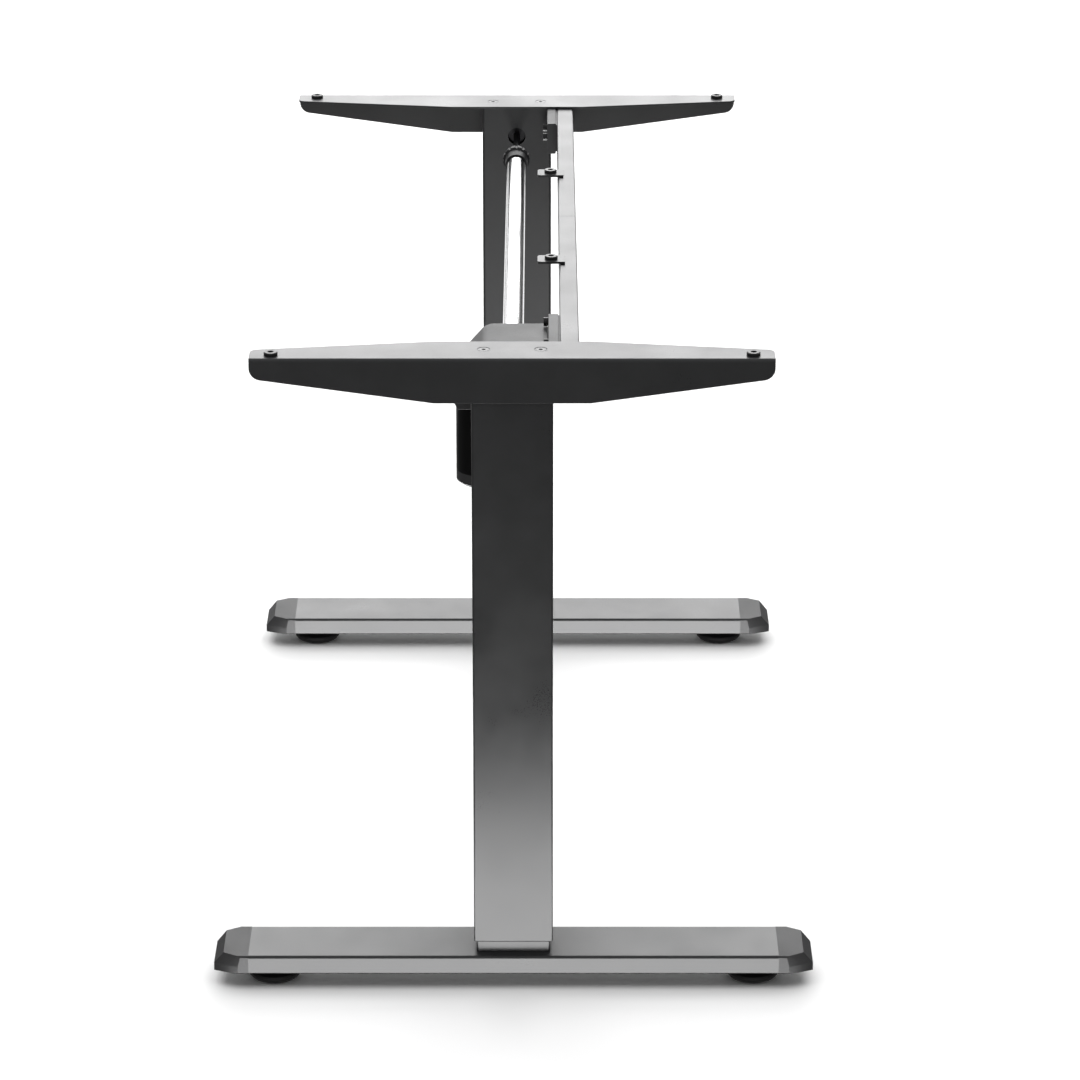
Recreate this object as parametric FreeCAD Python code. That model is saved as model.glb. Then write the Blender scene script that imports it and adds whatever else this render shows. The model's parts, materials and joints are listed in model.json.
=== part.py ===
import FreeCAD
import Part

import math
import os

# Two-leg height-adjustable desk frame with one motor, as separate pieces, in millimetres.
# Frame of reference: +Z up, floor at Z = 0, origin on the floor at the middle of the frame.
# X runs along the desk from the left leg (-X) to the motor leg (+X), and the user sits at -Y.
# The right side is modelled and the left side is its mirror image, apart from the drive.

V = FreeCAD.Vector

# ---- driving dimensions ----
FRAME_LENGTH = 1030.0  # over the two side brackets, beam fully closed
TOP = 718.0  # height of the brackets' top faces, legs fully lowered

BRACKET_T = 2.5
BRACKET_LENGTH = 541.5
BRACKET_WIDE = 58.0  # top flange at the leg
BRACKET_NARROW = 31.0  # top flange at its ends
BRACKET_DEEP = 48.0  # side flange at the leg
BRACKET_SHALLOW = 21.5  # side flange at its ends
BRACKET_FLAT = 81.0  # half length of the parallel middle

LEG_X, LEG_Y, LEG_WALL = 55.0, 85.0, 1.5
INNER_X, INNER_Y = 50.0, 80.0
LEG_BOTTOM = 54.0
INNER_TOP = 600.0

FOOT_BOTTOM, FOOT_TOP = 17.6, 39.2
FOOT_WIDE, FOOT_ROUND, FOOT_WALL = 75.5, 3.0, 2.0
FOOT_INWARD = 1.0  # how far the foot's middle lies inwards of the leg's
FOOT_RAIL_HALF = 287.0
CAP_LIP = 26.5  # height of the ridge round the end cap
CAP_BASE = (298.4, 26.0, 324.8)  # shoulder, half width of the nose and nose, below the ridge
CAP_CROWN = (295.5, 27.0, 314.2)  # the same on top
LEVELLER_Y = 260.4
STUD_R = 4.0
BOLT_GRID_X, BOLT_GRID_Y, BASE_PLATE_T = 14.0, 26.0, 8.0

SHAFT_Z = TOP - 38.0
SHAFT_HOLE_R = 10.8
BEAM_Y0, BEAM_Y1 = 49.5, 69.5
BEAM_TALL, BEAM_WALL = 40.0, 1.5
BEAM_SEAM = 0.2  # each half stops this far short of the middle
JOINER_HALF, JOINER_GAP = 420.0, 0.3
SET_SCREW_X = (40.0, 90.0)
BRACKET_Y0, BRACKET_Y1 = 37.5, 48.2  # across the beam bracket
BRACKET_TALL = 38.0

TAB_X, TAB_Y = 169.0, 41.0  # centre of the tab's grommet
TAB_HALF, TAB_START, TAB_REACH, HOOK = 12.0, 26.0, 56.0, 4.3
TAB_ROOM = 5.5  # the slot's free length at each end of the hook

GROMMET_R, GROMMET_H, GROMMET_BORE_R, GROMMET_NECK_R = 7.2, 3.5, 3.2, 5.0
GROMMET_X, GROMMET_Y = 14.5, 248.5  # inwards from the bracket's outer face
SCREW_INWARD, SCREW_Y = 3.0, 29.5  # from the leg's middle
SCREW_HEAD_R, SCREW_HEAD_H, SCREW_RING = 7.0, 2.4, 1.1
M6_R, M6_TAPPED, M6_CLEAR, M5_R, M5_CLEAR = 2.95, 3.0, 3.2, 2.5, 2.6
M6_KEY = 4.0  # across the flats of an M6 screw's hexagonal socket

SCREW_R, SCREW_BOTTOM = 6.0, 90.0
CASE_BOTTOM = 638.0
BEARING_H, BEARING_R = 10.0, 14.0
BEVEL_R, BEVEL_FACE, BEVEL_HUB, MESH_GAP = 16.0, 8.0, 6.0, 0.3
INPUT_R = 6.0
ROD_FLATS, ROD_TIP = 7.0, 150.0

BOX_FAR, BOX_TOP, BOX_BOTTOM = 353.0, TOP - 14.0, 643.0
BOX_LEFT, BOX_RIGHT = -62.0, 36.0
BOX_BREAK, BOX_SLOPE, BOX_CORNER_R = -28.0, 1.12, 18.0  # where the top turns down over the motor
COVER_T, SHELL = 3.0, 2.5
WHEEL_R, WHEEL_X = 20.0, 414.0
WORM_R, WORM_TOP = 10.7, SHAFT_Z + 3.5
MOTOR_R, MOTOR_BOTTOM, MOTOR_CAP_H = 29.0, 549.0, 14.0
SPINDLE_R, SPINDLE_HOLE_R = 4.0, 6.0
TUBE_R, TUBE_BORE_R = 11.3, 9.0
TUBE_LEFT, TUBE_RIGHT = -343.0, BOX_FAR - 2.0
COLLAR_LEFT, COLLAR_RIGHT, COLLAR_R = -366.0, -331.0, 16.2

# ---- derived places on the right side ----
OUTER = FRAME_LENGTH / 2
LEG_OUT = OUTER - BRACKET_T
LEG_IN = LEG_OUT - LEG_X
LEG_C = (LEG_OUT + LEG_IN) / 2
FOOT_C = LEG_C - FOOT_INWARD
SCREW_X = LEG_C - SCREW_INWARD
UNDER = TOP - BRACKET_T  # underside of the top flange
BEAM_BOTTOM = UNDER - BEAM_TALL
BEAM_MIDDLE = (BEAM_Y0 + BEAM_Y1) / 2
MOTOR_Y = -(WHEEL_R + WORM_R + MESH_GAP)
GEAR_BACK = BEVEL_R + MESH_GAP + BEVEL_HUB  # from the shafts' crossing to the back of a bevel gear

# reach of each side's beam bracket and the height of its bolts, which clear the gearbox on the right
BEAM_STUBS = {"right": (100.0, UNDER - 6.0), "left": (69.0, UNDER - 19.0)}

RUN = 0.05  # radial running clearance


# ---- helpers ----
def box(x0, x1, y0, y1, z0, z1):
    """Box between two corners, in any order along X."""
    x0, x1 = min(x0, x1), max(x0, x1)
    return Part.makeBox(x1 - x0, y1 - y0, z1 - z0, V(x0, y0, z0))


def cyl_z(r, x, y, z0, z1):
    return Part.makeCylinder(r, z1 - z0, V(x, y, z0))


def cyl_x(r, x0, x1, y, z):
    return Part.makeCylinder(r, x1 - x0, V(x0, y, z), V(1, 0, 0))


def cyl_y(r, x, y0, y1, z):
    return Part.makeCylinder(r, y1 - y0, V(x, y0, z), V(0, 1, 0))


def face(points):
    return Part.Face(Part.makePolygon([*points, points[0]]))


def prism_z(outline, z0, z1):
    """Solid between two heights from (x, y) points."""
    return face([V(x, y, z0) for x, y in outline]).extrude(V(0, 0, z1 - z0))


def prism_x(outline, x0, x1):
    """Solid between two places along X from (y, z) points."""
    return face([V(x0, y, z) for y, z in outline]).extrude(V(x1 - x0, 0, 0))


def spun(outline, x, y):
    """Solid turned about a vertical axis through (x, y) from (r, z) points."""
    return face([V(x + r, y, z) for r, z in outline]).revolve(V(x, y, 0), V(0, 0, 1), 360)


def spun_x(outline, y, z):
    """Solid turned about an axis along X through (y, z) from (x, r) points."""
    return face([V(x, y, z + r) for x, r in outline]).revolve(V(0, y, z), V(1, 0, 0), 360)


def hexagon(flats, a, b):
    """Corners of a hexagon around a point, from its width across the flats."""
    r = flats / math.sqrt(3)
    turns = [math.radians(60 * k) for k in range(6)]
    return [(a + r * math.cos(t), b + r * math.sin(t)) for t in turns]


def hex_x(flats, x0, x1, y, z):
    return prism_x(hexagon(flats, y, z), x0, x1)


def hex_z(flats, x, y, z0, z1):
    return prism_z(hexagon(flats, x, y), z0, z1)


def upright_edges(shape):
    """The straight edges of a shape that run along Z."""
    lines = [e for e in shape.Edges if isinstance(e.Curve, Part.Line)]
    return [e for e in lines if abs(e.tangentAt(e.FirstParameter).z) > 0.999]


def rect_tube(x0, x1, y0, y1, z0, z1, wall, radius):
    """Upright rectangular tube with rounded corners."""
    skin = box(x0, x1, y0, y1, z0, z1)
    skin = skin.makeFillet(radius, upright_edges(skin))
    core = box(x0 + wall, x1 - wall, y0 + wall, y1 - wall, z0, z1)
    core = core.makeFillet(max(radius - wall, 0.5), upright_edges(core))
    return skin.cut(core)


def rect_tube_x(x0, x1, y0, y1, z0, z1, wall, radius):
    """Rectangular tube along X with rounded corners."""
    def bar(grow, r):
        b = box(x0, x1, y0 - grow, y1 + grow, z0 - grow, z1 + grow)
        along = [e for e in b.Edges if abs(e.tangentAt(e.FirstParameter).x) > 0.999]
        return b.makeFillet(r, along)
    return bar(0, radius).cut(bar(-wall, max(radius - wall, 0.4)))


def mirrored(shape):
    return shape.mirror(V(0, 0, 0), V(1, 0, 0))


def group(shapes):
    return Part.makeCompound(shapes)


# ---- side bracket and what is fixed to it ----
def side_bracket():
    """Pressed angle: a flange on top and one down the outer side, both tapering to the ends."""
    half = BRACKET_LENGTH / 2
    inner_corner, lower_corner, bend = 9.0, 13.0, 3.5
    flat, wide, narrow = BRACKET_FLAT, BRACKET_WIDE, BRACKET_NARROW
    top = prism_z(
        [
            (OUTER, -half), (OUTER, half), (OUTER - narrow, half), (OUTER - wide, flat),
            (OUTER - wide, -flat), (OUTER - narrow, -half),
        ],
        UNDER, TOP,
    )
    side = prism_x(
        [
            (-half, TOP), (half, TOP), (half, TOP - BRACKET_SHALLOW), (flat, TOP - BRACKET_DEEP),
            (-flat, TOP - BRACKET_DEEP), (-half, TOP - BRACKET_SHALLOW),
        ],
        LEG_OUT, OUTER,
    )
    top_ends = [e for e in upright_edges(top) if abs(e.Vertexes[0].X - (OUTER - narrow)) < 0.01]
    top = top.makeFillet(inner_corner, top_ends)
    low = [
        e for e in side.Edges
        if all(abs(v.Z - (TOP - BRACKET_SHALLOW)) < 0.01 for v in e.Vertexes) and e.Length < BRACKET_T + 0.1
    ]
    side = side.makeFillet(lower_corner, low)
    bracket = top.fuse(side).removeSplitter()
    fold = [
        e for e in bracket.Edges
        if all(abs(v.Z - TOP) < 0.01 and abs(v.X - OUTER) < 0.01 for v in e.Vertexes)
    ]
    bracket = bracket.makeFillet(bend, fold)
    for y in (-GROMMET_Y, GROMMET_Y):
        bracket = bracket.cut(cyl_z(GROMMET_NECK_R, OUTER - GROMMET_X, y, UNDER - 1, TOP + 1))
    for y in (-SCREW_Y, SCREW_Y):
        bracket = bracket.cut(countersunk(SCREW_X, y, 0, M6_CLEAR, SCREW_HEAD_R))
    return bracket


def countersunk(x, y, recess, shank, head_r):
    """Countersunk head, its top just under the top face, on a shank."""
    head, low, length = TOP - recess, TOP - SCREW_HEAD_H, 22.0
    tip = low - length
    return spun([(0, tip), (shank, tip), (shank, low), (head_r, head), (0, head)], x, y)


def bracket_screws():
    made, recess, socket_depth = [], 0.2, 2.2
    for y in (-SCREW_Y, SCREW_Y):
        socket = hex_z(M6_KEY, SCREW_X, y, TOP - socket_depth, TOP + 1)
        made.append(countersunk(SCREW_X, y, recess, M6_R, SCREW_HEAD_R - SCREW_RING).cut(socket))
    return group(made)


def grommet(x, y):
    """Rubber pad that the desktop rests on, snapped through a 10 mm hole."""
    r, bore, neck, lip = GROMMET_R, GROMMET_BORE_R, GROMMET_NECK_R, 2.0
    return spun(
        [
            (bore, UNDER - lip), (neck + 1.2, UNDER - lip), (neck + 1.8, UNDER), (neck, UNDER),
            (neck, TOP), (r, TOP), (r, TOP + GROMMET_H - 1), (r - 0.8, TOP + GROMMET_H),
            (bore, TOP + GROMMET_H),
        ],
        x, y,
    )


def desk_grommets():
    places = [(OUTER - GROMMET_X, -GROMMET_Y), (OUTER - GROMMET_X, GROMMET_Y), (TAB_X, TAB_Y)]
    return group([grommet(x, y) for x, y in places])


# ---- leg ----
def outer_tube():
    tube = rect_tube(LEG_IN, LEG_OUT, -LEG_Y / 2, LEG_Y / 2, LEG_BOTTOM, UNDER, LEG_WALL, 3.0)
    return tube.cut(cyl_x(SHAFT_HOLE_R, LEG_IN - 5, LEG_IN + 5, 0, SHAFT_Z))


def inner_tube():
    x0, x1 = LEG_C - INNER_X / 2, LEG_C + INNER_X / 2
    return rect_tube(x0, x1, -INNER_Y / 2, INNER_Y / 2, FOOT_TOP, INNER_TOP, LEG_WALL, 3.0)


def glide_collar():
    """Plastic sleeve in the mouth of the outer tube, with a bevelled lip below it."""
    lip_h, sleeve_h, gap = 2.0, 60.0, 0.2
    lip = rect_tube(LEG_IN, LEG_OUT, -LEG_Y / 2, LEG_Y / 2, LEG_BOTTOM - lip_h, LEG_BOTTOM, 2.3, 3.0)
    rim = [
        e for e in lip.Edges
        if all(abs(v.Z - (LEG_BOTTOM - lip_h)) < 0.01 for v in e.Vertexes)
        and (max(abs(v.Y) for v in e.Vertexes) > LEG_Y / 2 - 3.1)
        and outermost(e)
    ]
    lip = lip.makeChamfer(1.2, rim)
    reach_x, reach_y = LEG_X / 2 - LEG_WALL, LEG_Y / 2 - LEG_WALL
    sleeve = rect_tube(
        LEG_C - reach_x, LEG_C + reach_x, -reach_y, reach_y, LEG_BOTTOM - 0.01, LEG_BOTTOM + sleeve_h,
        LEG_X / 2 - LEG_WALL - INNER_X / 2 - gap, 1.5,
    )
    return lip.fuse(sleeve)


def outermost(edge):
    """True for an edge on the outer outline of the leg's section."""
    c = edge.CenterOfMass
    return abs(c.y) > LEG_Y / 2 - 1.5 or abs(c.x - LEG_C) > LEG_X / 2 - 1.5


# ---- lead screw and its bevel gears ----
def lead_screw():
    """Trapezoidal screw, shown as its major diameter, hung from the bearing by a collar."""
    collar_z = CASE_BOTTOM + BEARING_H + 2
    bevel_base = SHAFT_Z - BEVEL_R - MESH_GAP
    return spun(
        [
            (0, SCREW_BOTTOM), (SCREW_R - 1, SCREW_BOTTOM), (SCREW_R, SCREW_BOTTOM + 1),
            (SCREW_R, collar_z), (9, collar_z), (9, collar_z + 3), (SCREW_R, collar_z + 3),
            (SCREW_R, bevel_base), (0, bevel_base),
        ],
        LEG_C, 0,
    )


def bevel_outline(start):
    """Half section of a mitre gear, as (distance from the apex, radius), with a hub behind."""
    back, hub_r = BEVEL_R + MESH_GAP, 10.0
    front = back - BEVEL_FACE
    return [
        (GEAR_BACK, start), (GEAR_BACK, hub_r), (back, BEVEL_R), (front, BEVEL_R - BEVEL_FACE),
        (front, start),
    ]


def screw_bevel_gear():
    outline = [(r, SHAFT_Z - d) for d, r in bevel_outline(0)]
    bore = cyl_z(SCREW_R, LEG_C, 0, SHAFT_Z - GEAR_BACK - 1, SHAFT_Z - BEVEL_R - MESH_GAP)
    return spun(outline, LEG_C, 0).cut(bore)


def shaft_bevel_gear():
    """Mitre gear on the cross shaft, inside the leg on its inner side of the screw."""
    return spun_x([(LEG_C - d, r) for d, r in bevel_outline(0)], 0, SHAFT_Z)


def gear_case():
    """Cast block in the leg's top: gear chamber, bearing seat and screw holes for the bracket."""
    gap = 0.1
    x0, x1 = LEG_IN + LEG_WALL + gap, LEG_OUT - LEG_WALL - gap
    half = LEG_Y / 2 - LEG_WALL - gap
    block = box(x0, x1, -half, half, CASE_BOTTOM, UNDER)
    block = block.makeFillet(2.0, upright_edges(block))
    chamber = box(x0 - 1, x1 - 4, -19.5, 19.5, CASE_BOTTOM + BEARING_H, UNDER - 12)
    seat = cyl_z(BEARING_R, LEG_C, 0, CASE_BOTTOM - 1, CASE_BOTTOM + BEARING_H + 1)
    block = block.cut(chamber).cut(seat)
    for y in (-SCREW_Y, SCREW_Y):
        block = block.cut(cyl_z(M6_TAPPED, SCREW_X, y, UNDER - 25, UNDER + 1))
    return block


def screw_bearing():
    ring = cyl_z(BEARING_R, LEG_C, 0, CASE_BOTTOM, CASE_BOTTOM + BEARING_H)
    return ring.cut(cyl_z(SCREW_R + RUN, LEG_C, 0, CASE_BOTTOM - 1, CASE_BOTTOM + BEARING_H + 1))


def drive_nut():
    """Nut with a square flange that closes the inner tube's top."""
    plate_h, barrel_h, gap = 6.0, 34.0, 0.2
    x0, x1 = LEG_C - INNER_X / 2 + LEG_WALL + gap, LEG_C + INNER_X / 2 - LEG_WALL - gap
    half = INNER_Y / 2 - LEG_WALL - gap
    plate = box(x0, x1, -half, half, INNER_TOP - plate_h, INNER_TOP)
    plate = plate.makeFillet(2.0, upright_edges(plate))
    nut = plate.fuse(cyl_z(14, LEG_C, 0, INNER_TOP - barrel_h, INNER_TOP - plate_h + 1))
    return nut.cut(cyl_z(SCREW_R + RUN, LEG_C, 0, INNER_TOP - barrel_h - 1, INNER_TOP + 1))


# ---- foot ----
def foot_bar(inset, y0, y1):
    """Flat bar with rounded long edges, the foot's outline less an inset."""
    half = FOOT_WIDE / 2 - inset
    bar = box(FOOT_C - half, FOOT_C + half, y0, y1, FOOT_BOTTOM + inset, FOOT_TOP - inset)
    along = [e for e in bar.Edges if abs(e.tangentAt(e.FirstParameter).y) > 0.999]
    return bar.makeFillet(FOOT_ROUND - inset, along)


def bolt_places():
    return [(LEG_C + sx * BOLT_GRID_X, sy * BOLT_GRID_Y) for sx in (-1, 1) for sy in (-1, 1)]


def foot_rail():
    """Closed steel section with holes for the leg bolts and the levelling studs."""
    half = FOOT_RAIL_HALF
    rail = foot_bar(0, -half, half).cut(foot_bar(FOOT_WALL, -half - 1, half + 1))
    for x, y in bolt_places():
        rail = rail.cut(cyl_z(M6_CLEAR, x, y, 0, FOOT_TOP + 1))
    for y in (-LEVELLER_Y, LEVELLER_Y):
        rail = rail.cut(cyl_z(STUD_R + 0.6, FOOT_C, y, 0, FOOT_BOTTOM + FOOT_WALL + 1))
    return rail


def end_cap(sign):
    """Faceted plastic end with a plug that fills the rail's mouth."""
    side = FOOT_WIDE / 2

    def outline(z, shoulder, nose_half, nose):
        points = [
            (-side, FOOT_RAIL_HALF), (side, FOOT_RAIL_HALF), (side, shoulder),
            (nose_half, nose), (-nose_half, nose), (-side, shoulder),
        ]
        return Part.makePolygon([V(FOOT_C + x, sign * y, z) for x, y in [*points, points[0]]])

    skirt = Part.makeLoft([outline(FOOT_BOTTOM, *CAP_BASE), outline(CAP_LIP, *CAP_BASE)], True, True)
    crown = Part.makeLoft([outline(CAP_LIP, *CAP_BASE), outline(FOOT_TOP, *CAP_CROWN)], True, True)
    cap = skirt.fuse(crown).removeSplitter()
    long_edges = [
        e for e in cap.Edges
        if abs(e.tangentAt(e.FirstParameter).y) > 0.999
        and min(abs(e.CenterOfMass.z - FOOT_TOP), abs(e.CenterOfMass.z - FOOT_BOTTOM)) < 0.01
    ]
    cap = cap.makeChamfer(FOOT_ROUND * 0.6, long_edges)
    plug_gap, plug_depth = 0.2, 14.0
    plug_ends = sorted((sign * (FOOT_RAIL_HALF - plug_depth), sign * (FOOT_RAIL_HALF + 2)))
    return cap.fuse(foot_bar(FOOT_WALL + plug_gap, *plug_ends)).removeSplitter()


def base_plate():
    """Welded plate in the foot of the inner tube, tapped for the leg bolts."""
    gap = 0.05
    x0, x1 = LEG_C - INNER_X / 2 + LEG_WALL + gap, LEG_C + INNER_X / 2 - LEG_WALL - gap
    half = INNER_Y / 2 - LEG_WALL - gap
    plate = box(x0, x1, -half, half, FOOT_TOP, FOOT_TOP + BASE_PLATE_T)
    plate = plate.makeFillet(1.5, upright_edges(plate))
    for x, y in bolt_places():
        plate = plate.cut(cyl_z(M6_TAPPED, x, y, FOOT_TOP - 1, FOOT_TOP + BASE_PLATE_T + 1))
    return plate


def foot_bolts():
    """Low-head bolts from under the rail into the base plate."""
    made, head_r, head_h, socket_depth = [], 5.5, 3.5, 2.0
    head = FOOT_BOTTOM - head_h
    for x, y in bolt_places():
        bolt = cyl_z(head_r, x, y, head, FOOT_BOTTOM)
        bolt = bolt.fuse(cyl_z(M6_R, x, y, FOOT_BOTTOM - 0.5, FOOT_TOP + BASE_PLATE_T))
        made.append(bolt.cut(hex_z(M6_KEY, x, y, head - 1, head + socket_depth)))
    return group(made)


def weld_nuts():
    """Nuts welded inside the rail for the levelling studs."""
    z, flats, height = FOOT_BOTTOM + FOOT_WALL, 13.0, 6.5
    return group([
        hex_z(flats, FOOT_C, y, z, z + height).cut(cyl_z(STUD_R + RUN, FOOT_C, y, z - 1, z + height + 1))
        for y in (-LEVELLER_Y, LEVELLER_Y)
    ])


def leveller(y):
    """Moulded pad on an M8 stud, screwed fully in."""
    stud_top, neck_top = FOOT_TOP - FOOT_WALL - 1.0, FOOT_BOTTOM - 1.6
    return spun(
        [
            (0, 0), (22.0, 0), (26.0, 1.2), (28.3, 4.0), (28.8, 7.0), (27.5, 8.6), (12.0, 11.5),
            (9.5, 12.6), (9.5, neck_top), (STUD_R, neck_top + 0.5), (STUD_R, stud_top), (0, stud_top),
        ],
        FOOT_C, y,
    )


# ---- beam ----
def tab_slot():
    """Slot in the beam's top wall that the tab's turned-down edge hooks into."""
    gap, half = 0.2, TAB_HALF + TAB_ROOM
    return box(
        TAB_X - half, TAB_X + half, TAB_REACH - HOOK - gap, TAB_REACH + gap,
        UNDER - BEAM_WALL - 0.5, UNDER + 1,
    )


def beam_half(reach, bolt_z):
    """Outer beam tube on one side, from the middle to the side bracket's flange."""
    beam = rect_tube_x(BEAM_SEAM, LEG_OUT - 1.0, BEAM_Y0, BEAM_Y1, BEAM_BOTTOM, UNDER, BEAM_WALL, 2.5)
    beam = beam.cut(tab_slot())
    for x in bolts_within(reach):
        beam = beam.cut(cyl_y(M5_CLEAR, x, BEAM_Y0 - 1, BEAM_Y0 + 3, bolt_z))
    for x in SET_SCREW_X:
        beam = beam.cut(cyl_z(M6_TAPPED, x, BEAM_MIDDLE, BEAM_BOTTOM - 1, BEAM_BOTTOM + 3))
    return beam


def beam_joiner():
    y0, y1 = BEAM_Y0 + BEAM_WALL + JOINER_GAP, BEAM_Y1 - BEAM_WALL - JOINER_GAP
    z0, z1 = BEAM_BOTTOM + BEAM_WALL + JOINER_GAP, UNDER - BEAM_WALL - JOINER_GAP
    return rect_tube_x(-JOINER_HALF, JOINER_HALF, y0, y1, z0, z1, 1.5, 1.5)


def beam_bracket(reach, bolt_z):
    """Closed box stub welded to the leg's inner face, with a strip that spaces the beam off it."""
    wall, tip, low = 2.0, LEG_IN - reach, UNDER - BRACKET_TALL
    stub = rect_tube_x(tip, LEG_IN, BRACKET_Y0, BRACKET_Y1, low, UNDER, wall, 1.2)
    stub = stub.fuse(box(tip, tip + wall, BRACKET_Y0 + 1, BRACKET_Y1 - 1, low + 1, UNDER - 1))
    stub = stub.fuse(box(tip, LEG_IN, BRACKET_Y1 - wall / 2, BEAM_Y0, low + 3, UNDER - 1.5)).removeSplitter()
    for x in bolts_within(reach):
        stub = stub.cut(cyl_y(M5_CLEAR, x, BRACKET_Y0 - 1, BEAM_Y0 + 1, bolt_z))
    return stub


def bolts_within(reach):
    """The bolt places of a stub: its tip and 19.5 mm off the leg."""
    return (LEG_IN - reach + 8.5, LEG_IN - 19.5)


def beam_bolts(reach, bolt_z):
    """Socket-head bolts through the stub into the beam's wall."""
    head_r, head_h, socket_r, socket_depth = 4.75, 5.0, 2.2, 2.5
    head = BRACKET_Y0 - head_h
    made = []
    for x in bolts_within(reach):
        bolt = cyl_y(head_r, x, head, BRACKET_Y0, bolt_z)
        bolt = bolt.fuse(cyl_y(M5_R, x, BRACKET_Y0 - 1, BEAM_Y0 + BEAM_WALL - 0.1, bolt_z))
        made.append(bolt.cut(cyl_y(socket_r, x, head - 1, head + socket_depth, bolt_z)))
    return group(made)


def beam_tab():
    """Flat tab on the beam's top that holds a desktop grommet beside the beam."""
    x0, x1 = TAB_X - TAB_HALF, TAB_X + TAB_HALF
    plate = box(x0, x1, TAB_START, TAB_REACH, UNDER, TOP)
    near = [e for e in upright_edges(plate) if e.Vertexes[0].Y < TAB_START + 1]
    plate = plate.makeFillet(3.5, near)
    plate = plate.cut(cyl_z(GROMMET_NECK_R, TAB_X, TAB_Y, UNDER - 1, TOP + 1))
    hook = box(x0, x1, TAB_REACH - HOOK, TAB_REACH, UNDER - BEAM_WALL, UNDER + 0.5)
    return plate.fuse(hook).removeSplitter()


def beam_set_screws():
    """Clamp screws under the beam that bear on the joiner and fix the frame's width."""
    tip = BEAM_BOTTOM + BEAM_WALL + JOINER_GAP - RUN
    made, head_r, head_h, socket_depth = [], 5.5, 3.2, 2.0
    head = BEAM_BOTTOM - head_h
    for x in SET_SCREW_X:
        screw = cyl_z(M6_R, x, BEAM_MIDDLE, BEAM_BOTTOM - 1, tip)
        screw = screw.fuse(cyl_z(head_r, x, BEAM_MIDDLE, head, BEAM_BOTTOM))
        made.append(screw.cut(hex_z(M6_KEY, x, BEAM_MIDDLE, head - 1, head + socket_depth)))
    return group(made)


# ---- motor and gearbox, on the right side only ----
def gearbox_outline(inset):
    """Gearbox section as (y, z): flat top, a long slope over the motor and a level floor."""
    chamfer, side_low = 5.0, 9.0
    left, right = BOX_LEFT + inset, BOX_RIGHT - inset
    top, floor = BOX_TOP - inset, BOX_BOTTOM + inset
    corner = BOX_BREAK + inset * (math.hypot(1, BOX_SLOPE) - 1) / BOX_SLOPE
    shoulder = top - (corner - left) * BOX_SLOPE
    return [
        (right, floor), (right, top), (corner, top), (left, shoulder),
        (left, BOX_BOTTOM + side_low), (left + chamfer, floor),
    ]


def gearbox_block(inset, x0, x1):
    """Gearbox outline as a solid, with a broad radius where its top turns down the slope."""
    block = prism_x(gearbox_outline(inset), x0, x1)
    corner = [
        e for e in block.Edges
        if abs(e.CenterOfMass.y - BOX_BREAK) < inset + 0.01 and abs(e.CenterOfMass.z - BOX_TOP + inset) < 0.01
    ]
    return block.makeFillet(BOX_CORNER_R - inset, corner)


def gearbox_housing():
    """Cast shell, open towards the leg."""
    end_radius = 2.4
    shell = gearbox_block(0, BOX_FAR, LEG_IN - COVER_T)
    rounded = [e for e in shell.Edges if all(abs(v.X - BOX_FAR) < 0.01 for v in e.Vertexes)]
    shell = shell.makeFillet(end_radius, rounded)
    shell = shell.cut(gearbox_block(SHELL, BOX_FAR + SHELL, LEG_IN))
    shell = shell.cut(cyl_x(INPUT_R + RUN, BOX_FAR - 1, BOX_FAR + SHELL + 1, 0, SHAFT_Z))
    return shell.cut(cyl_z(SPINDLE_HOLE_R, WHEEL_X, MOTOR_Y, BOX_BOTTOM - 1, BOX_BOTTOM + SHELL + 1))


def gearbox_cover():
    plate = gearbox_block(0, LEG_IN - COVER_T, LEG_IN)
    return plate.cut(cyl_x(INPUT_R + RUN, LEG_IN - COVER_T - 1, LEG_IN + 1, 0, SHAFT_Z))


def motor_can():
    """Drawn steel can under the gearbox."""
    z0, wall, lid = MOTOR_BOTTOM + MOTOR_CAP_H, 2.0, 3.0
    can = cyl_z(MOTOR_R, WHEEL_X, MOTOR_Y, z0, BOX_BOTTOM)
    can = can.cut(cyl_z(MOTOR_R - wall, WHEEL_X, MOTOR_Y, z0 - 1, BOX_BOTTOM - lid))
    return can.cut(cyl_z(SPINDLE_HOLE_R, WHEEL_X, MOTOR_Y, BOX_BOTTOM - lid - 1, BOX_BOTTOM + 1))


def motor_end_cap():
    """Brush cover with the motor's cable socket on its inner side."""
    z0, z1, wall, floor = MOTOR_BOTTOM, MOTOR_BOTTOM + MOTOR_CAP_H, 3.0, 4.0
    inner = MOTOR_R - wall
    cap = spun(
        [
            (0, z0), (inner, z0), (MOTOR_R, z0 + wall), (MOTOR_R, z1), (inner, z1), (inner, z0 + floor),
            (0, z0 + floor),
        ],
        WHEEL_X, MOTOR_Y,
    )
    x = WHEEL_X - MOTOR_R
    socket = box(x - 9, x + 2, MOTOR_Y - 7, MOTOR_Y + 7, z0 + 4, z1)
    pins = box(x - 10, x - 2, MOTOR_Y - 5.5, MOTOR_Y + 5.5, z0 + 5.5, z1 - 1.5)
    return cap.fuse(socket).cut(pins).removeSplitter()


def motor_rotor():
    """Shaft with its armature."""
    r, armature_r = SPINDLE_R, MOTOR_R - 5.0
    z0, z1 = MOTOR_BOTTOM + 6, WORM_TOP + 2
    a0, a1 = z0 + 14, BOX_BOTTOM - 12
    return spun(
        [(0, z0), (r, z0), (r, a0), (armature_r, a0), (armature_r, a1), (r, a1), (r, z1), (0, z1)],
        WHEEL_X, MOTOR_Y,
    )


def worm():
    low = SHAFT_Z - 17
    ring = cyl_z(WORM_R, WHEEL_X, MOTOR_Y, low, WORM_TOP)
    return ring.cut(cyl_z(SPINDLE_R, WHEEL_X, MOTOR_Y, low - 1, WORM_TOP + 1))


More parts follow.
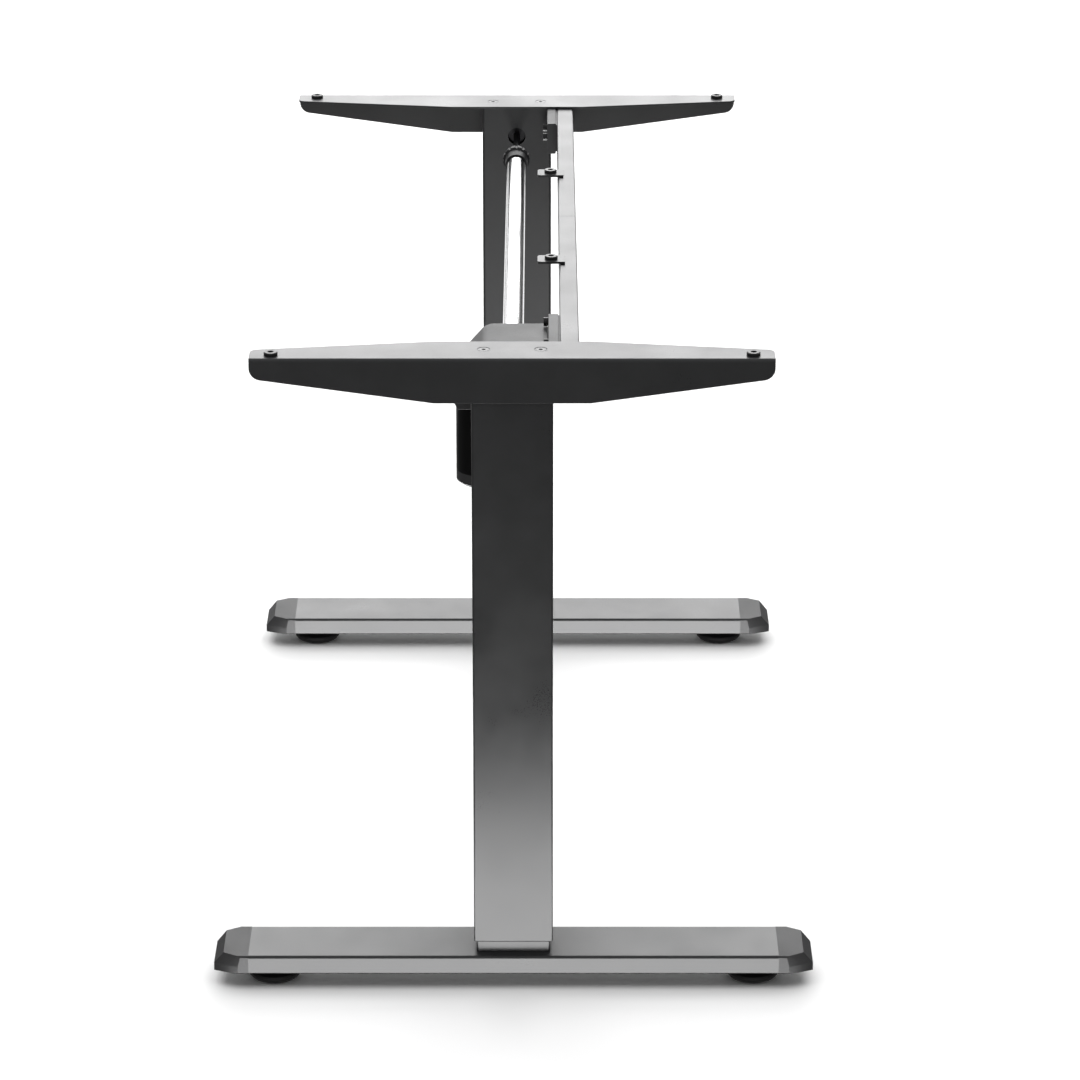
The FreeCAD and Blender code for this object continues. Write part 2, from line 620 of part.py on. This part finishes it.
def worm_wheel():
    hub_r, rim, hub = 12.0, 8.0, 16.0
    wheel = cyl_x(WHEEL_R, WHEEL_X - rim, WHEEL_X + rim, 0, SHAFT_Z)
    wheel = wheel.fuse(cyl_x(hub_r, WHEEL_X - hub, WHEEL_X + hub, 0, SHAFT_Z))
    return wheel.cut(cyl_x(INPUT_R, WHEEL_X - hub - 1, WHEEL_X + hub + 1, 0, SHAFT_Z))


def input_shaft():
    """Gearbox output shaft: a plug in the drive tube at one end, the bevel gear at the other."""
    return cyl_x(INPUT_R, TUBE_RIGHT - 1, LEG_C - GEAR_BACK, 0, SHAFT_Z).fuse(
        cyl_x(TUBE_BORE_R, TUBE_RIGHT - 25, TUBE_RIGHT - 1, 0, SHAFT_Z)
    )


def drive_tube():
    tube = cyl_x(TUBE_R, TUBE_LEFT, TUBE_RIGHT, 0, SHAFT_Z)
    return tube.cut(cyl_x(TUBE_BORE_R, TUBE_LEFT - 1, TUBE_RIGHT + 1, 0, SHAFT_Z))


def shaft_collar():
    """Clamp collar on the drive tube's end, with the hexagonal bore that drives the rod."""
    r, step = COLLAR_R, COLLAR_R - 2.6
    body = spun_x(
        [
            (COLLAR_LEFT, 0), (COLLAR_LEFT, r - 4), (COLLAR_LEFT + 4, r - 1), (COLLAR_LEFT + 6, r),
            (COLLAR_LEFT + 14, r), (COLLAR_LEFT + 16, step), (COLLAR_RIGHT, step - 0.6), (COLLAR_RIGHT, 0),
        ],
        0, SHAFT_Z,
    )
    body = body.cut(cyl_x(TUBE_R, TUBE_LEFT, COLLAR_RIGHT + 1, 0, SHAFT_Z))
    for k in range(12):
        a = math.radians(30 * k)
        y, z = (r + 1) * math.cos(a), SHAFT_Z + (r + 1) * math.sin(a)
        flute = cyl_x(2.0, COLLAR_LEFT - 1, COLLAR_LEFT + 15, y, z)
        body = body.cut(flute)
    return body.cut(hex_x(ROD_FLATS + 0.2, COLLAR_LEFT - 1, COLLAR_RIGHT + 1, 0, SHAFT_Z))


def hex_rod():
    """Hexagonal rod that slides in the drive tube as the frame widens."""
    return hex_x(ROD_FLATS, GEAR_BACK - LEG_C, ROD_TIP, 0, SHAFT_Z)


def build():
    """Every node by name. The left side mirrors the right one."""
    nodes = {}
    both = {
        "side_bracket": side_bracket(), "bracket_screws": bracket_screws(), "desk_grommets": desk_grommets(),
        "outer_tube": outer_tube(), "gear_case": gear_case(), "screw_bearing": screw_bearing(),
        "glide_collar": glide_collar(), "lead_screw": lead_screw(), "screw_bevel_gear": screw_bevel_gear(),
        "shaft_bevel_gear": shaft_bevel_gear(), "drive_nut": drive_nut(), "inner_tube": inner_tube(),
        "base_plate": base_plate(), "foot_rail": foot_rail(), "foot_bolts": foot_bolts(),
        "foot_end_caps": group([end_cap(-1), end_cap(1)]),
        "weld_nuts": weld_nuts(), "front_leveller": leveller(-LEVELLER_Y),
        "rear_leveller": leveller(LEVELLER_Y), "beam_tab": beam_tab(), "beam_set_screws": beam_set_screws(),
    }
    for name, shape in both.items():
        nodes[f"right_{name}"] = shape
        nodes[f"left_{name}"] = mirrored(shape)
    for side, stub in BEAM_STUBS.items():
        for name, make in (("beam_bracket", beam_bracket), ("beam_bolts", beam_bolts), ("beam", beam_half)):
            shape = make(*stub)
            nodes[f"{side}_{name}"] = mirrored(shape) if side == "left" else shape
    nodes.update(
        beam_joiner=beam_joiner(), gearbox_housing=gearbox_housing(), gearbox_cover=gearbox_cover(),
        motor_can=motor_can(), motor_end_cap=motor_end_cap(), motor_rotor=motor_rotor(), worm=worm(),
        worm_wheel=worm_wheel(), input_shaft=input_shaft(), drive_tube=drive_tube(),
        shaft_collar=shaft_collar(), hex_rod=hex_rod(),
    )
    return nodes


os.makedirs("parts", exist_ok=True)
for node, solid in build().items():
    if not solid.isValid():
        print("INVALID", node)
    solid.exportStep(f"parts/{node}.step")
    print(node, len(solid.Solids), round(solid.Volume))
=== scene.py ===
import json
import math

import bmesh
import bpy
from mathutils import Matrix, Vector

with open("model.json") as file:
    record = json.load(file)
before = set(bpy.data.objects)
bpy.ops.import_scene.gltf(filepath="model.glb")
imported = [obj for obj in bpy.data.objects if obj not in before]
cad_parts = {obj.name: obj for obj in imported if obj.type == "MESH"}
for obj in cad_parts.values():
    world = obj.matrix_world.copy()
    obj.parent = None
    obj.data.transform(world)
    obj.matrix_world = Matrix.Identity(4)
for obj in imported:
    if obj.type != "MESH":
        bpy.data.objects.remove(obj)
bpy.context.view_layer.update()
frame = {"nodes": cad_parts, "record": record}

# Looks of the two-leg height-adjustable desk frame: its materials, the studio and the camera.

RECORD = frame["record"]
SLOT_OF = {part["node"]: part["material_slot"] for part in RECORD["subparts"]}

NOISE_RANGE = (0.3, 0.7)          # where nearly all of a noise node's values lie
RUBBED_COAT = (0.16, 0.16, 0.165)  # a dark coat where hands and cartons have rubbed its edges


# ---- material helpers ----
def new_material(name):
    """A material with its node tree, its Principled shader and the object-space coordinates."""
    material = bpy.data.materials.new(name)
    material.use_nodes = True
    tree = material.node_tree
    shader = tree.nodes["Principled BSDF"]
    coords = tree.nodes.new("ShaderNodeTexCoord")
    return material, tree, shader, coords.outputs["Object"]


def stretched(tree, coords, scale):
    """Coordinates scaled apart along the three axes, for a directed grain."""
    mapping = tree.nodes.new("ShaderNodeMapping")
    mapping.inputs["Scale"].default_value = scale
    tree.links.new(coords, mapping.inputs["Vector"])
    return mapping.outputs["Vector"]


def noise(tree, coords, scale, detail=3.0, roughness=0.55):
    """Cloudy noise from 0 to 1, with this many clouds to the metre."""
    node = tree.nodes.new("ShaderNodeTexNoise")
    node.inputs["Scale"].default_value = scale
    node.inputs["Detail"].default_value = detail
    node.inputs["Roughness"].default_value = roughness
    tree.links.new(coords, node.inputs["Vector"])
    return node.outputs["Fac"]


def cells(tree, coords, scale):
    """Distance to the nearest of many scattered points, for an eroded texture."""
    node = tree.nodes.new("ShaderNodeTexVoronoi")
    node.inputs["Scale"].default_value = scale
    tree.links.new(coords, node.inputs["Vector"])
    return node.outputs["Distance"]


def remap(tree, value, low, high, to_low, to_high):
    """A value moved from one range to another, and held at its ends."""
    node = tree.nodes.new("ShaderNodeMapRange")
    for key, number in (("From Min", low), ("From Max", high), ("To Min", to_low), ("To Max", to_high)):
        node.inputs[key].default_value = number
    tree.links.new(value, node.inputs["Value"])
    return node.outputs["Result"]


def from_noise(tree, value, to_low, to_high):
    """A noise value spread over a new range."""
    return remap(tree, value, *NOISE_RANGE, to_low, to_high)


def math_node(tree, operation, a, b):
    """One arithmetic step on two numbers or sockets."""
    node = tree.nodes.new("ShaderNodeMath")
    node.operation = operation
    for socket, value in zip(node.inputs, (a, b)):
        if isinstance(value, (int, float)):
            socket.default_value = value
        else:
            tree.links.new(value, socket)
    return node.outputs[0]


def mix_color(tree, factor, a, b):
    """Colour a where the factor is 0 and colour b where it is 1."""
    node = tree.nodes.new("ShaderNodeMix")
    node.data_type = "RGBA"
    tree.links.new(factor, node.inputs["Factor"])
    for key, color in (("A", a), ("B", b)):
        socket = next(s for s in node.inputs if s.name == key and s.type == "RGBA")
        if isinstance(color, tuple):
            socket.default_value = (*color, 1.0)
        else:
            tree.links.new(color, socket)
    return next(s for s in node.outputs if s.type == "RGBA")


def bump(tree, height, distance, strength, under=None):
    """Normals of a relief this many metres deep, on top of another relief if one is given."""
    node = tree.nodes.new("ShaderNodeBump")
    node.inputs["Distance"].default_value = distance
    node.inputs["Strength"].default_value = strength
    tree.links.new(height, node.inputs["Height"])
    if under is not None:
        tree.links.new(under, node.inputs["Normal"])
    return node.outputs["Normal"]


def worn_edges(tree, coords, radius, grain):
    """1 along convex and concave edges, broken up by noise, and 0 on flats."""
    rounded = tree.nodes.new("ShaderNodeBevel")
    rounded.samples = 4
    rounded.inputs["Radius"].default_value = radius
    flat = tree.nodes.new("ShaderNodeNewGeometry")
    dot = tree.nodes.new("ShaderNodeVectorMath")
    dot.operation = "DOT_PRODUCT"
    tree.links.new(rounded.outputs["Normal"], dot.inputs[0])
    tree.links.new(flat.outputs["Normal"], dot.inputs[1])
    edge = remap(tree, dot.outputs["Value"], 0.98, 0.8, 0.0, 1.0)
    patches = remap(tree, noise(tree, coords, grain), 0.45, 0.7, 0.0, 1.0)
    return math_node(tree, "MULTIPLY", edge, patches)


def finish_shader(tree, shader, color, roughness, normal):
    """Links the three results into the Principled shader."""
    tree.links.new(color, shader.inputs["Base Color"])
    tree.links.new(roughness, shader.inputs["Roughness"])
    tree.links.new(normal, shader.inputs["Normal"])


# ---- coatings ----
def coated(name, dark, light, rough, peel, wear, specular):
    """Powder or wet coat on steel: orange peel, cloudy gloss, and edges rubbed a little lighter."""
    material, tree, shader, coords = new_material(name)
    cloud = noise(tree, coords, scale=14.0)
    fleck = noise(tree, coords, scale=900.0, detail=2.0)
    worn = worn_edges(tree, coords, radius=0.0012, grain=55.0)
    base = mix_color(tree, cloud, dark, light)
    color = mix_color(tree, math_node(tree, "MULTIPLY", worn, wear), base, RUBBED_COAT)
    patchy = from_noise(tree, cloud, *rough)
    gloss = math_node(tree, "ADD", patchy, from_noise(tree, fleck, -0.02, 0.03))
    normal = bump(tree, noise(tree, coords, scale=420.0, detail=2.0), distance=peel, strength=0.35)
    finish_shader(tree, shader, color, gloss, normal)
    shader.inputs["Specular IOR Level"].default_value = specular
    return material


def coated_steel():
    return coated(
        "coated_steel", dark=(0.016, 0.0163, 0.017), light=(0.022, 0.0224, 0.0235),
        rough=(0.28, 0.36), peel=0.00006, wear=0.12, specular=0.5,
    )


def satin_coat():
    return coated(
        "satin_coat", dark=(0.02, 0.02, 0.021), light=(0.028, 0.028, 0.029),
        rough=(0.44, 0.52), peel=0.00014, wear=0.15, specular=0.46,
    )


def motor_black():
    return coated(
        "motor_black", dark=(0.0015, 0.0015, 0.0016), light=(0.003, 0.003, 0.0032),
        rough=(0.3, 0.4), peel=0.00003, wear=0.1, specular=0.12,
    )


def black_screws():
    return coated(
        "black_screws", dark=(0.008, 0.008, 0.0084), light=(0.012, 0.012, 0.0126),
        rough=(0.24, 0.32), peel=0.00003, wear=0.12, specular=0.5,
    )


# ---- bare metals ----
def metal(name, dark, light, rough, grain, scale, depth):
    """Bare metal with a directed grain, smudges in its gloss and bright edges."""
    material, tree, shader, coords = new_material(name)
    lines = noise(tree, stretched(tree, coords, grain), scale, detail=4.0, roughness=0.6)
    smudge = noise(tree, coords, scale=22.0)
    worn = worn_edges(tree, coords, radius=0.0008, grain=70.0)
    base = mix_color(tree, lines, dark, light)
    color = mix_color(tree, math_node(tree, "MULTIPLY", worn, 0.4), base, light)
    smudged = from_noise(tree, smudge, *rough)
    gloss = math_node(tree, "ADD", smudged, from_noise(tree, lines, -0.02, 0.02))
    finish_shader(tree, shader, color, gloss, bump(tree, lines, distance=depth, strength=0.3))
    shader.inputs["Metallic"].default_value = 1.0
    return material


def chrome_tube():
    return metal(
        "chrome_tube", dark=(0.46, 0.462, 0.466), light=(0.52, 0.523, 0.527),
        rough=(0.12, 0.18), grain=(0.05, 1, 1), scale=260.0, depth=0.00001,
    )


def dark_rod():
    return metal(
        "dark_rod", dark=(0.03, 0.03, 0.032), light=(0.05, 0.05, 0.053),
        rough=(0.28, 0.4), grain=(0.05, 1, 1), scale=300.0, depth=0.00002,
    )


def bearing_steel():
    return metal(
        "bearing_steel", dark=(0.42, 0.43, 0.44), light=(0.6, 0.61, 0.62),
        rough=(0.18, 0.3), grain=(1, 1, 0.05), scale=260.0, depth=0.00002,
    )


def gear_steel():
    return metal(
        "gear_steel", dark=(0.02, 0.02, 0.021), light=(0.05, 0.05, 0.052),
        rough=(0.38, 0.5), grain=(1, 1, 0.2), scale=240.0, depth=0.00003,
    )


def cast_alloy():
    return metal(
        "cast_alloy", dark=(0.45, 0.45, 0.46), light=(0.6, 0.6, 0.61),
        rough=(0.42, 0.55), grain=(1, 1, 1), scale=500.0, depth=0.00012,
    )


def wheel_brass():
    return metal(
        "wheel_brass", dark=(0.55, 0.38, 0.16), light=(0.72, 0.53, 0.26),
        rough=(0.25, 0.36), grain=(0.1, 1, 1), scale=260.0, depth=0.00002,
    )


# ---- mouldings ----
def moulded(name, dark, light, rough, texture_scale, depth, specular=0.5):
    """Moulded plastic or rubber with a fine eroded texture."""
    material, tree, shader, coords = new_material(name)
    grain = cells(tree, coords, texture_scale)
    cloud = noise(tree, coords, scale=18.0)
    worn = worn_edges(tree, coords, radius=0.001, grain=60.0)
    base = mix_color(tree, cloud, dark, light)
    polished = tuple(min(1.0, channel * 1.5) for channel in light)
    color = mix_color(tree, math_node(tree, "MULTIPLY", worn, 0.5), base, polished)
    patchy = from_noise(tree, cloud, *rough)
    gloss = math_node(tree, "SUBTRACT", patchy, math_node(tree, "MULTIPLY", worn, 0.12))
    finer_grain = noise(tree, coords, scale=texture_scale * 1.7, detail=2.0)
    fine = bump(tree, finer_grain, distance=depth * 0.5, strength=0.4)
    finish_shader(tree, shader, color, gloss, bump(tree, grain, distance=depth, strength=0.4, under=fine))
    shader.inputs["Specular IOR Level"].default_value = specular
    return material


def cap_plastic():
    return moulded(
        "cap_plastic", dark=(0.022, 0.022, 0.023), light=(0.03, 0.03, 0.031),
        rough=(0.44, 0.52), texture_scale=1400.0, depth=0.00008, specular=0.35,
    )


def pad_plastic():
    return moulded(
        "pad_plastic", dark=(0.008, 0.008, 0.0085), light=(0.013, 0.013, 0.0135),
        rough=(0.46, 0.56), texture_scale=1600.0, depth=0.00005, specular=0.3,
    )


def glide_plastic():
    return moulded(
        "glide_plastic", dark=(0.006, 0.006, 0.0065), light=(0.01, 0.01, 0.0105),
        rough=(0.42, 0.52), texture_scale=1500.0, depth=0.00005,
    )


def nut_plastic():
    return moulded(
        "nut_plastic", dark=(0.62, 0.6, 0.55), light=(0.72, 0.7, 0.65),
        rough=(0.38, 0.48), texture_scale=1200.0, depth=0.00004,
    )


def grommet_rubber():
    return moulded(
        "grommet_rubber", dark=(0.007, 0.007, 0.0072), light=(0.012, 0.012, 0.0125),
        rough=(0.3, 0.42), texture_scale=1500.0, depth=0.00004,
    )


MAKERS = (
    coated_steel, satin_coat, motor_black, black_screws, chrome_tube, dark_rod, bearing_steel, gear_steel,
    cast_alloy, wheel_brass, nut_plastic, glide_plastic, cap_plastic, pad_plastic, grommet_rubber,
)
MATERIALS = {make.__name__: make() for make in MAKERS}


# ---- the CAD nodes ----
SEAM = 0.000005                   # corners nearer than this are one corner
SHARP = math.radians(35)          # edges that turn by more than this are rounded
SOFT_EDGES = {"foot_end_caps": 0.0008, "beam_bracket": 0.0004, "gearbox_cover": 0.0005, "side_bracket": 0.0003}


def paint(piece, slot):
    """Gives a node the material of its slot."""
    piece.data.materials.clear()
    piece.data.materials.append(MATERIALS[slot])


def soften(piece, width, segments=2):
    """Rounds a node's sharp edges and keeps its flats shaded flat."""
    welded = piece.modifiers.new("weld", "WELD")
    welded.merge_threshold = SEAM
    rounding = piece.modifiers.new("edges", "BEVEL")
    rounding.width = width
    rounding.segments = segments
    rounding.limit_method = "ANGLE"
    rounding.angle_limit = SHARP
    rounding.use_clamp_overlap = True
    rounding.harden_normals = False
    shading = piece.modifiers.new("normals", "WEIGHTED_NORMAL")
    shading.keep_sharp = True


for node, cad_piece in frame["nodes"].items():
    paint(cad_piece, SLOT_OF[node])
    kind = node.removeprefix("right_").removeprefix("left_")
    if kind in SOFT_EDGES:
        soften(cad_piece, SOFT_EDGES[kind])


# ---- floor, light and camera ----
def studio_floor():
    """Pale floor just under the pads. Reflections leave it out: the glow panels stand for it there."""
    size, depth = 40.0, 0.001
    mesh = bpy.data.meshes.new("studio_floor")
    shape = bmesh.new()
    bmesh.ops.create_grid(shape, x_segments=4, y_segments=4, size=size / 2)
    bmesh.ops.translate(shape, verts=shape.verts, vec=(0, 0, -depth))
    shape.to_mesh(mesh)
    shape.free()
    floor = bpy.data.objects.new("studio_floor", mesh)
    bpy.context.scene.collection.objects.link(floor)
    material, tree, shader, coords = new_material("studio_floor")
    tone = mix_color(tree, noise(tree, coords, scale=2.5), (0.84, 0.84, 0.84), (0.86, 0.86, 0.86))
    tree.links.new(tone, shader.inputs["Base Color"])
    tree.links.new(from_noise(tree, noise(tree, coords, scale=30.0), 0.85, 0.95), shader.inputs["Roughness"])
    shader.inputs["Specular IOR Level"].default_value = 0.1
    mesh.materials.append(material)
    floor.visible_glossy = False


def area_light(name, place, aim, size, radiance, glossy=True, diffuse=True):
    """Soft panel at a place, turned to a point. Its power is set from the radiance of its face."""
    light = bpy.data.lights.new(name, "AREA")
    light.shape = "RECTANGLE"
    light.size, light.size_y = size
    light.energy = radiance * math.pi * size[0] * size[1]
    lamp = bpy.data.objects.new(name, light)
    lamp.location = place
    lamp.rotation_euler = (Vector(aim) - Vector(place)).to_track_quat("-Z", "Y").to_euler()
    lamp.visible_camera = False
    lamp.visible_glossy = glossy
    lamp.visible_diffuse = diffuse
    bpy.context.scene.collection.objects.link(lamp)


def glow(name, x, size, radiance):
    """Panel just over the floor that faces up and shows only in reflections, as a bright floor would."""
    over_floor = 0.004
    area_light(name, (x, 0.0, over_floor), (x, 0.0, 1.0), size, radiance, diffuse=False)


def studio_world():
    """Dim even sky over a darker ground, so the frame's rounded edges read dark."""
    world = bpy.data.worlds.new("studio")
    world.use_nodes = True
    tree = world.node_tree
    coords = tree.nodes.new("ShaderNodeTexCoord")
    split = tree.nodes.new("ShaderNodeSeparateXYZ")
    tree.links.new(coords.outputs["Generated"], split.inputs[0])
    level = remap(tree, split.outputs["Z"], -0.1, 0.12, 0.15, 0.34)
    tree.links.new(level, tree.nodes["Background"].inputs["Strength"])
    tree.nodes["Background"].inputs["Color"].default_value = (1.0, 1.0, 1.0, 1.0)
    bpy.context.scene.world = world


def camera():
    """One-end view of the frame from a little above, with a long lens."""
    height, distance, sideways, down = 2.144, 4.7276, 0.0287, 21.09
    sensor_width_mm, focal_length_mm = 36.0, 144.37
    data = bpy.data.cameras.new("view")
    data.sensor_width = sensor_width_mm
    data.lens = focal_length_mm
    view = bpy.data.objects.new("view", data)
    view.location = (distance, sideways, height)
    view.rotation_euler = (math.radians(90 - down), 0, math.radians(90))
    bpy.context.scene.collection.objects.link(view)
    bpy.context.scene.camera = view


studio_floor()
studio_world()
area_light("back_panel", (-4.2, 0.0, 2.45), (0.5, 0.0, 0.5), (5.0, 2.9), 3.7)
glow("near_glow", x=0.745, size=(0.43, 0.66), radiance=9.0)
glow("middle_glow", x=-0.24, size=(0.4, 0.66), radiance=11.0)
glow("far_glow", x=-2.4, size=(2.6, 2.4), radiance=1.2)
area_light("left_panel", (-4.2, -1.55, 0.55), (0.0, 0.0, 0.68), (2.2, 0.9), 1.2, diffuse=False)
area_light("overhead", (0.0, 0.0, 4.5), (0.0, 0.0, 0.0), (7.0, 7.0), 2.0, glossy=False)
camera()
bpy.context.scene.view_settings.view_transform = "Standard"
